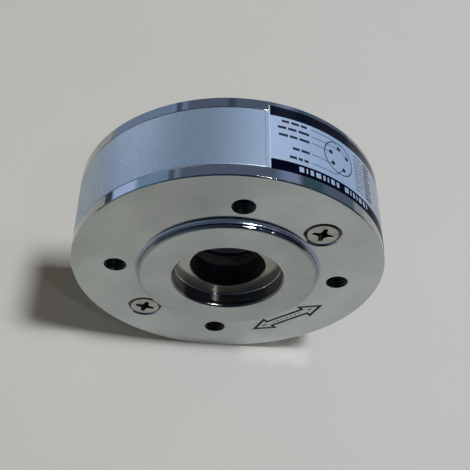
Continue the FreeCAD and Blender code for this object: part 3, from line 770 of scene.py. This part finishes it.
def screw(shell, x, y, z_top, up, head_r, shank_r, tip_z, half, w, f, depth, turn,
          bevel, crown):
    """Countersunk cross-recess screw; up is +1 when the head faces +z."""
    ct, st = math.cos(math.radians(turn)), math.sin(math.radians(turn))

    def place(poly, z):
        return [(x + px * ct - py * st, y + px * st + py * ct, z) for px, py in poly]
    n = 96
    out2 = [(p[0] * ct + p[1] * st, p[1] * ct - p[0] * st)
            for p in circle(head_r - bevel, 0, 0, 0, n)]
    rec2 = cross_outline(half, w, f)
    lip2 = [(px * (1 + 0.05 / max(0.2, math.hypot(px, py))),
             py * (1 + 0.05 / max(0.2, math.hypot(px, py)))) for px, py in rec2]
    pts, tris = cdt([out2, lip2])
    keep = [t for t in tris
            if not inside(lip2, sum(pts[i][0] for i in t) / 3,
                          sum(pts[i][1] for i in t) / 3)]
    shell.add(place(pts, z_top), keep, 0)
    low2 = cross_outline(half * 0.40, w * 0.62, f * 0.35)
    mid2 = [(a[0] * 0.45 + b[0] * 0.55, a[1] * 0.45 + b[1] * 0.55)
            for a, b in zip(rec2, low2)]
    shell.rings([place(lip2, z_top), place(rec2, z_top - up * 0.06)], 0)
    # the cross recess walls take the near-black metal: painted shade
    shell.rings([place(rec2, z_top - up * 0.06), place(mid2, z_top - up * depth * 0.6),
                 place(low2, z_top - up * depth)], 1)
    shell.fan(place(low2, z_top - up * depth), (x, y, z_top - up * (depth + 0.35)), 1)
    prof = [(head_r - bevel, z_top), (head_r - bevel * 0.85, z_top - up * crown * 0.08),
            (head_r - bevel * 0.10, z_top - up * crown * 0.88),
            (head_r, z_top - up * crown),
            (shank_r, z_top - up * (crown + head_r - shank_r)),
            (shank_r, tip_z + up * 0.6), (shank_r - 0.6, tip_z)]
    turned(shell, prof[:2], 0, n, x, y)
    # the bevel ring round the head takes the near-black metal: painted shade of the gap
    turned(shell, prof[1:4], 2, n, x, y)
    turned(shell, prof[3:], 0, n, x, y)
    shell.fan(circle(shank_r - 0.6, tip_z, x, y, n), (x, y, tip_z), 0)


sh = Shell()
for s, turn in ((1, 38.5), (-1, 31.0)):
    screw(sh, 0.0, s * PCD_R, 28.95, 1, 5.5, 3.0, 11.0, 3.1, 0.80, 0.85, 2.4, turn,
          0.92, 0.56)
screws = sh.build("load_flange_screws_cut", [screw_metal, hole_shade_metal, gap_shade_metal])
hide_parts("load_flange_screws")
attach(screws, "root")

sh = Shell()
for i, (x, y) in enumerate(M5_XY):
    screw(sh, x, y, 0.20, -1, 4.6, 2.5, 15.5, 2.6, 0.67, 0.70, 1.8, 17.0 + 23.0 * i,
          0.3, 0.10)
screws = sh.build("base_flange_screws_cut", [screw_metal, hole_shade_metal, gap_shade_metal])
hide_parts("base_flange_screws")
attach(screws, "root")


# -------------------------------------------------------- receptacle shell
def xring(x, r, n=96):
    """Loop round the receptacle axis; r may depend on the angle."""
    f = r if callable(r) else (lambda a: r)
    return [(x, f(TAU * i / n) * math.cos(TAU * i / n),
             REC_Z + f(TAU * i / n) * math.sin(TAU * i / n)) for i in range(n)]


def flange_r(cut):
    return lambda a: min(8.0, 7.0 / max(1e-6, abs(math.cos(a)))) - cut


def socket_r(a):
    return 5.1 if abs((a - 1.5 * math.pi + math.pi) % TAU - math.pi) < 0.125 else 4.6


sh = Shell()
loops = [xring(44.4, 4.2), xring(44.4, 5.1), xring(44.8, 5.5), xring(51.2, 5.5),
         xring(51.2, flange_r(0)), xring(52.42, flange_r(0)), xring(52.6, flange_r(0.07)),
         xring(52.7, flange_r(0.28)), xring(52.7, 6.0), xring(52.9, 5.5), xring(53.3, 5.46)]
x, pitch = 53.3, 1.0
while x < 60.30:
    x += 0.1
    fade = max(0.0, min(1.0, (x - 53.3) / 0.4))
    loop = []
    for i in range(96):
        t = (x / pitch - i / 96.0) % 1.0
        w = max(0.0, 1.0 - abs(t - 0.5) / 0.46)
        r = 5.46 + 0.54 * w * fade
        r = min(r, 5.4 + (61.0 - x) * 1.0)
        loop.append((x, r * math.cos(TAU * i / 96), REC_Z + r * math.sin(TAU * i / 96)))
    loops.append(loop)
loops += [xring(60.75, 5.42), xring(61.0, 5.25), xring(61.0, lambda a: socket_r(a) + 0.3),
          xring(60.7, socket_r), xring(54.0, socket_r), xring(54.0, 4.2), xring(44.4, 4.2)]
sh.rings(loops, 0)
shell_ob = sh.build("receptacle_shell_threaded", [nickel_brass], 32.0)
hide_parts("receptacle_shell")
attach(shell_ob, "root")

# ------------------------------------------- finishes of the other CAD pieces
element_metal = metal("milled_element", (0.46, 0.465, 0.47), (0.55, 0.555, 0.56),
                      0.24, 0.36, "axial", 2500.0, 0.15, 90.0)
insert_black = plastic("insert_black", (0.012, 0.012, 0.014), (0.028, 0.028, 0.030),
                       0.4, 0.55, 600.0, 0.2)
gold = metal("pin_gold", (0.75, 0.54, 0.19), (0.84, 0.64, 0.26), 0.14, 0.24, "grain",
             5000.0, 0.06, 500.0)
board = plastic("board_green", (0.020, 0.115, 0.055), (0.035, 0.16, 0.08), 0.3, 0.45,
                700.0, 0.15)
gauge = plastic("gauge_film", (0.42, 0.24, 0.05), (0.52, 0.31, 0.08), 0.25, 0.4, 900.0, 0.1)
chip = plastic("chip_black", (0.015, 0.015, 0.018), (0.04, 0.04, 0.045), 0.4, 0.6, 900.0, 0.2)
sleeve = plastic("lead_sleeve", (0.40, 0.40, 0.38), (0.55, 0.55, 0.52), 0.6, 0.8, 1500.0, 0.4)


def insulation(name, c):
    return plastic(name, tuple(v * 0.82 for v in c), c, 0.25, 0.4, 900.0, 0.1)


finish = {
    "sensing_element": element_metal, "load_dowels": element_metal,
    "base_dowels": element_metal, "overload_stop_pins": element_metal,
    # the bore sleeve takes the dark metal: painted shade
    "bore_sleeve": sleeve_shade_metal, "bore_seal": rubber, "front_band_seal": rubber,
    "rear_band_seal": rubber, "receptacle_insert": insert_black,
    "receptacle_pins": gold, "receptacle_gasket": rubber,
    "receptacle_backing": band_metal, "receptacle_nut": nickel_brass,
    "strain_gauges": gauge, "terminal_board": board, "board_spacers": insert_black,
    "board_screws": screw_metal, "trim_resistors": chip, "gauge_leads": sleeve,
    "wire_red": insulation("wire_red", (0.50, 0.03, 0.025)),
    "wire_black": insulation("wire_black", (0.02, 0.02, 0.022)),
    "wire_green": insulation("wire_green", (0.03, 0.26, 0.07)),
    "wire_yellow": insulation("wire_yellow", (0.72, 0.52, 0.04)),
    "wire_shield": insulation("wire_shield", (0.36, 0.37, 0.38)),
}
for node, mat in finish.items():
    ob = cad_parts[node]
    ob.data.materials.clear()
    ob.data.materials.append(mat)

# ------------------------------------------------------------------- the stage
floor_mat, n, l, b = new_mat("pale_floor")
vec = coords(n, l)
t = noise(n, l, vec, 9.0, 5.0, 0.55)
# painted light on the floor: warmer to the left, cooler to the right, and a little darker
# towards the front
side = maprange(n, l, along(n, l, "X"), -0.10, 0.12, 0.0, 1.0)
painted_light_tint = ramp(n, l, side, [(0.0, (0.965, 0.957, 0.942)), (1.0, (1.030, 1.035, 1.080))])
depth = ramp(n, l, maprange(n, l, along(n, l, "Y"), -0.13, 0.03, 0.0, 1.0),
             [(0.0, (0.975, 0.975, 0.975)), (1.0, (1.0, 1.0, 1.0))])
tone = ramp(n, l, t, [(0.3, (0.605, 0.600, 0.575)), (0.7, (0.625, 0.620, 0.595))])
l.new(times(n, l, times(n, l, tone, painted_light_tint), depth), b.inputs["Base Color"])
b.inputs["Roughness"].default_value = 0.62
b.inputs["Specular IOR Level"].default_value = 0.25
h = noise(n, l, vec, 900.0, 3.0, 0.6)
l.new(bump(n, l, h, 0.05, 2e-4), b.inputs["Normal"])
me = bpy.data.meshes.new("studio_floor")
fz = -0.0500
ring = [(0.33 * math.cos(TAU * i / 128), 0.33 * math.sin(TAU * i / 128), fz)
        for i in range(128)]
me.from_pydata(ring, [], [tuple(range(128))])
me.materials.append(floor_mat)
floor = bpy.data.objects.new("studio_floor", me)
bpy.context.scene.collection.objects.link(floor)

# ------------------------------------------------------------------- lighting
# The room is a set of tall light and dark panels behind the part, laid round
# its axis, and darker in front.  Matte surfaces get an even, neutral fill.
bpy.context.scene.view_settings.view_transform = "Standard"
world = bpy.data.worlds.new("studio")
bpy.context.scene.world = world
world.use_nodes = True
world.cycles.sampling_method = "NONE"
n, l = world.node_tree.nodes, world.node_tree.links
for node in list(n):
    n.remove(node)
out = n.new("ShaderNodeOutputWorld")
room = n.new("ShaderNodeBackground")
fill = n.new("ShaderNodeBackground")
back = n.new("ShaderNodeBackground")
back.inputs["Color"].default_value = (0.505, 0.508, 0.485, 1)
fill.inputs["Color"].default_value = (0.121, 0.107, 0.079, 1)
tc = n.new("ShaderNodeTexCoord")
sp = n.new("ShaderNodeSeparateXYZ")
l.new(tc.outputs["Generated"], sp.inputs[0])
turn = n.new("ShaderNodeMath")
turn.operation = "ARCTAN2"
l.new(sp.outputs["X"], turn.inputs[0])
l.new(sp.outputs["Z"], turn.inputs[1])
DARK = (0.058, 0.079, 0.100)
SLATE = (0.141, 0.176, 0.258)
BAR = (0.097, 0.139, 0.206)
EDGE = (0.25, 0.31, 0.42)
near = [(-180, DARK), (-100.5, DARK), (-99, (0.60, 0.72, 1.05)), (-80, (0.66, 0.78, 1.17)),
        (-75.5, (0.25, 0.40, 0.60)), (-64, (0.26, 0.39, 0.567)), (-52, (0.236, 0.349, 0.50)),
        (-51, BAR), (-47.5, BAR), (-46.5, EDGE), (-43, EDGE), (-42, SLATE), (26, SLATE),
        (32, (0.25, 0.316, 0.53)), (37, (0.32, 0.382, 0.584)), (44, (0.31, 0.37, 0.55)),
        (48.5, (0.065, 0.123, 0.156)), (63.5, (0.065, 0.123, 0.156)),
        (67.5, (0.14, 0.171, 0.242)), (95.5, (0.14, 0.171, 0.242)),
        (98, (0.40, 0.42, 0.46)), (120, (0.345, 0.37, 0.415)), (180, (0.33, 0.355, 0.39))]
far = [(-180, (0.33, 0.36, 0.39)), (-108, (0.33, 0.36, 0.39)), (-103, (0.264, 0.323, 0.483)),
       (-77, (0.264, 0.323, 0.483)), (-70, (0.248, 0.343, 0.51)), (-55, (0.248, 0.343, 0.51)),
       (-49.5, (0.30, 0.404, 0.595)), (-48.5, (0.09, 0.125, 0.195)),
       (-44.5, (0.09, 0.125, 0.195)), (-43.5, (0.27, 0.33, 0.47)), (-40, (0.27, 0.33, 0.47)),
       (-39, SLATE), (-9, SLATE), (-7, (0.075, 0.10, 0.15)), (-4, (0.075, 0.10, 0.15)),
       (-2, SLATE), (26, SLATE), (37, (0.32, 0.382, 0.584)), (48.5, (0.065, 0.123, 0.156)),
       (67.5, (0.14, 0.171, 0.242)), (95.5, (0.14, 0.171, 0.242)), (98, (0.40, 0.42, 0.46)),
       (120, (0.345, 0.37, 0.415)), (180, (0.33, 0.355, 0.39))]
deep = [(-180, (0.62, 0.55, 0.52)), (-130, (0.90, 0.76, 0.68)), (-108, (2.5, 2.15, 1.85)),
        (-88, (2.4, 2.15, 1.9)), (-68, (0.45, 0.55, 0.68)), (-50, (0.01, 0.02, 0.03)),
        (-14, (0.01, 0.02, 0.03)), (6, (0.66, 0.82, 1.22)), (40, (0.90, 1.08, 1.52)),
        (100, SLATE), (180, SLATE)]
front = [(-180, (0.30, 0.32, 0.34)), (-110, (0.21, 0.27, 0.33)), (-80, (0.14, 0.21, 0.265)),
         (-45, (0.04, 0.055, 0.11)), (-12, (0.008, 0.018, 0.045)), (20, (0.008, 0.018, 0.045)),
         (45, (0.03, 0.04, 0.085)), (72, (0.04, 0.06, 0.10)), (95, (0.06, 0.075, 0.10)),
         (130, (0.30, 0.32, 0.34)), (180, (0.30, 0.32, 0.34))]
above = [(-180, (0.22, 0.24, 0.28)), (-90, (0.12, 0.145, 0.19)), (-45, (0.085, 0.105, 0.165)),
         (0, (0.075, 0.095, 0.16)), (55, (0.07, 0.085, 0.13)), (75, (0.03, 0.038, 0.052)),
         (93, (0.03, 0.038, 0.052)), (100, (0.42, 0.43, 0.44)), (180, (0.44, 0.45, 0.45))]


def band_of_panels(stops):
    return ramp(n, l, maprange(n, l, turn.outputs[0], -math.pi, math.pi, 0.0, 1.0),
                [((d + 180) / 360.0, c) for d, c in stops])


def blend_by_depth(a, b, y0, y1):
    m = n.new("ShaderNodeMix")
    m.data_type = "RGBA"
    l.new(maprange(n, l, sp.outputs["Y"], y0, y1, 0.0, 1.0), m.inputs["Factor"])
    l.new(a, m.inputs["A"])
    l.new(b, m.inputs["B"])
    return m.outputs["Result"]


wall = blend_by_depth(band_of_panels(near), band_of_panels(far), 0.640, 0.660)
wall = blend_by_depth(wall, band_of_panels(deep), 0.72, 0.82)
nearer = blend_by_depth(band_of_panels(front), band_of_panels(above), -0.52, -0.42)
l.new(blend_by_depth(nearer, wall, 0.40, 0.55), room.inputs["Color"])
lp = n.new("ShaderNodeLightPath")
mix1 = n.new("ShaderNodeMixShader")
l.new(lp.outputs["Is Glossy Ray"], mix1.inputs["Fac"])
l.new(fill.outputs["Background"], mix1.inputs[1])
l.new(room.outputs["Background"], mix1.inputs[2])
mix2 = n.new("ShaderNodeMixShader")
l.new(lp.outputs["Is Camera Ray"], mix2.inputs["Fac"])
l.new(mix1.outputs["Shader"], mix2.inputs[1])
l.new(back.outputs["Background"], mix2.inputs[2])
l.new(mix2.outputs["Shader"], out.inputs["Surface"])


def aim(ob, target):
    d = Vector(target) - ob.location
    ob.rotation_euler = d.to_track_quat("-Z", "Y").to_euler()


def disc_lamp(name, where, size, power):
    li = bpy.data.lights.new(name, "AREA")
    li.shape = "DISK"
    li.size = size
    li.energy = power
    ob = bpy.data.objects.new(name, li)
    ob.location = where
    aim(ob, (0, -0.03, 0))
    ob.visible_camera = False
    bpy.context.scene.collection.objects.link(ob)


sun = bpy.data.lights.new("key", "SUN")
sun.energy = 2.20
sun.angle = math.radians(10)
sun.color = (0.955, 0.98, 1.0)
key = bpy.data.objects.new("key", sun)
key.location = (0.330, -0.05, 0.943)
aim(key, (0, 0, 0))
bpy.context.scene.collection.objects.link(key)

# a small lamp that draws a streak in the register, and two that glint on edges
disc_lamp("lamp", (0.38, -0.66, 1.05), 0.06, 0.58)
disc_lamp("lamp_right", (0.91, -0.13, 0.91), 0.045, 0.40)
disc_lamp("lamp_middle", (0.65, -0.13, 1.105), 0.045, 0.35)

# a narrow strip overhead that draws a thin line along the edges of the rims
strip = bpy.data.lights.new("strip", "AREA")
strip.shape = "RECTANGLE"
strip.size, strip.size_y = 0.17, 0.04
strip.energy = 1.1
strip_ob = bpy.data.objects.new("strip", strip)
ez = Vector((0.312, -0.062, 1.258)).normalized()
ey = ez.cross(Vector((1, 0, 0))).normalized()
ex = ey.cross(ez)
m = Matrix.Identity(4)
for i in range(3):
    m[i][0], m[i][1], m[i][2] = ex[i], ey[i], ez[i]
m.translation = Vector((0.312, -0.092, 1.258))
strip_ob.matrix_world = m
strip_ob.visible_camera = False
strip_ob.visible_diffuse = False
bpy.context.scene.collection.objects.link(strip_ob)

# a soft patch of light on the floor, as the polished face throws it forward
for i, (x, y, power) in enumerate(((0.0150, -0.0300, 2.4), (0.0240, -0.0300, 3.2),
                                   (0.0325, -0.0303, 3.4))):
    li = bpy.data.lights.new("glow_%d" % i, "SPOT")
    li.energy = power
    li.spot_size = math.radians(1.05)
    li.spot_blend = 1.0
    li.shadow_soft_size = 0.001
    ob = bpy.data.objects.new("glow_%d" % i, li)
    ob.location = (x + 0.03, y - 0.30, 0.62)
    aim(ob, (x, y, -0.05))
    ob.visible_camera = False
    ob.visible_glossy = False
    bpy.context.scene.collection.objects.link(ob)

# --------------------------------------------------------------------- camera
cam = bpy.data.cameras.new("camera")
cam.sensor_width = 36.0
cam.lens = 794.48 / 470.0 * 36.0
cam.clip_start, cam.clip_end = 0.01, 50.0
cam_ob = bpy.data.objects.new("camera", cam)
right = Vector((0.99060, 0.00863, 0.13654))
up = Vector((-0.08518, 0.81983, 0.56623))
fwd = Vector((0.10706, 0.57253, -0.81286))
m = Matrix.Identity(4)
for i in range(3):
    m[i][0], m[i][1], m[i][2] = right[i], up[i], -fwd[i]
m.translation = Vector((-0.026070, -0.165264, 0.215232))
cam_ob.matrix_world = m
bpy.context.scene.collection.objects.link(cam_ob)
bpy.context.scene.camera = cam_ob
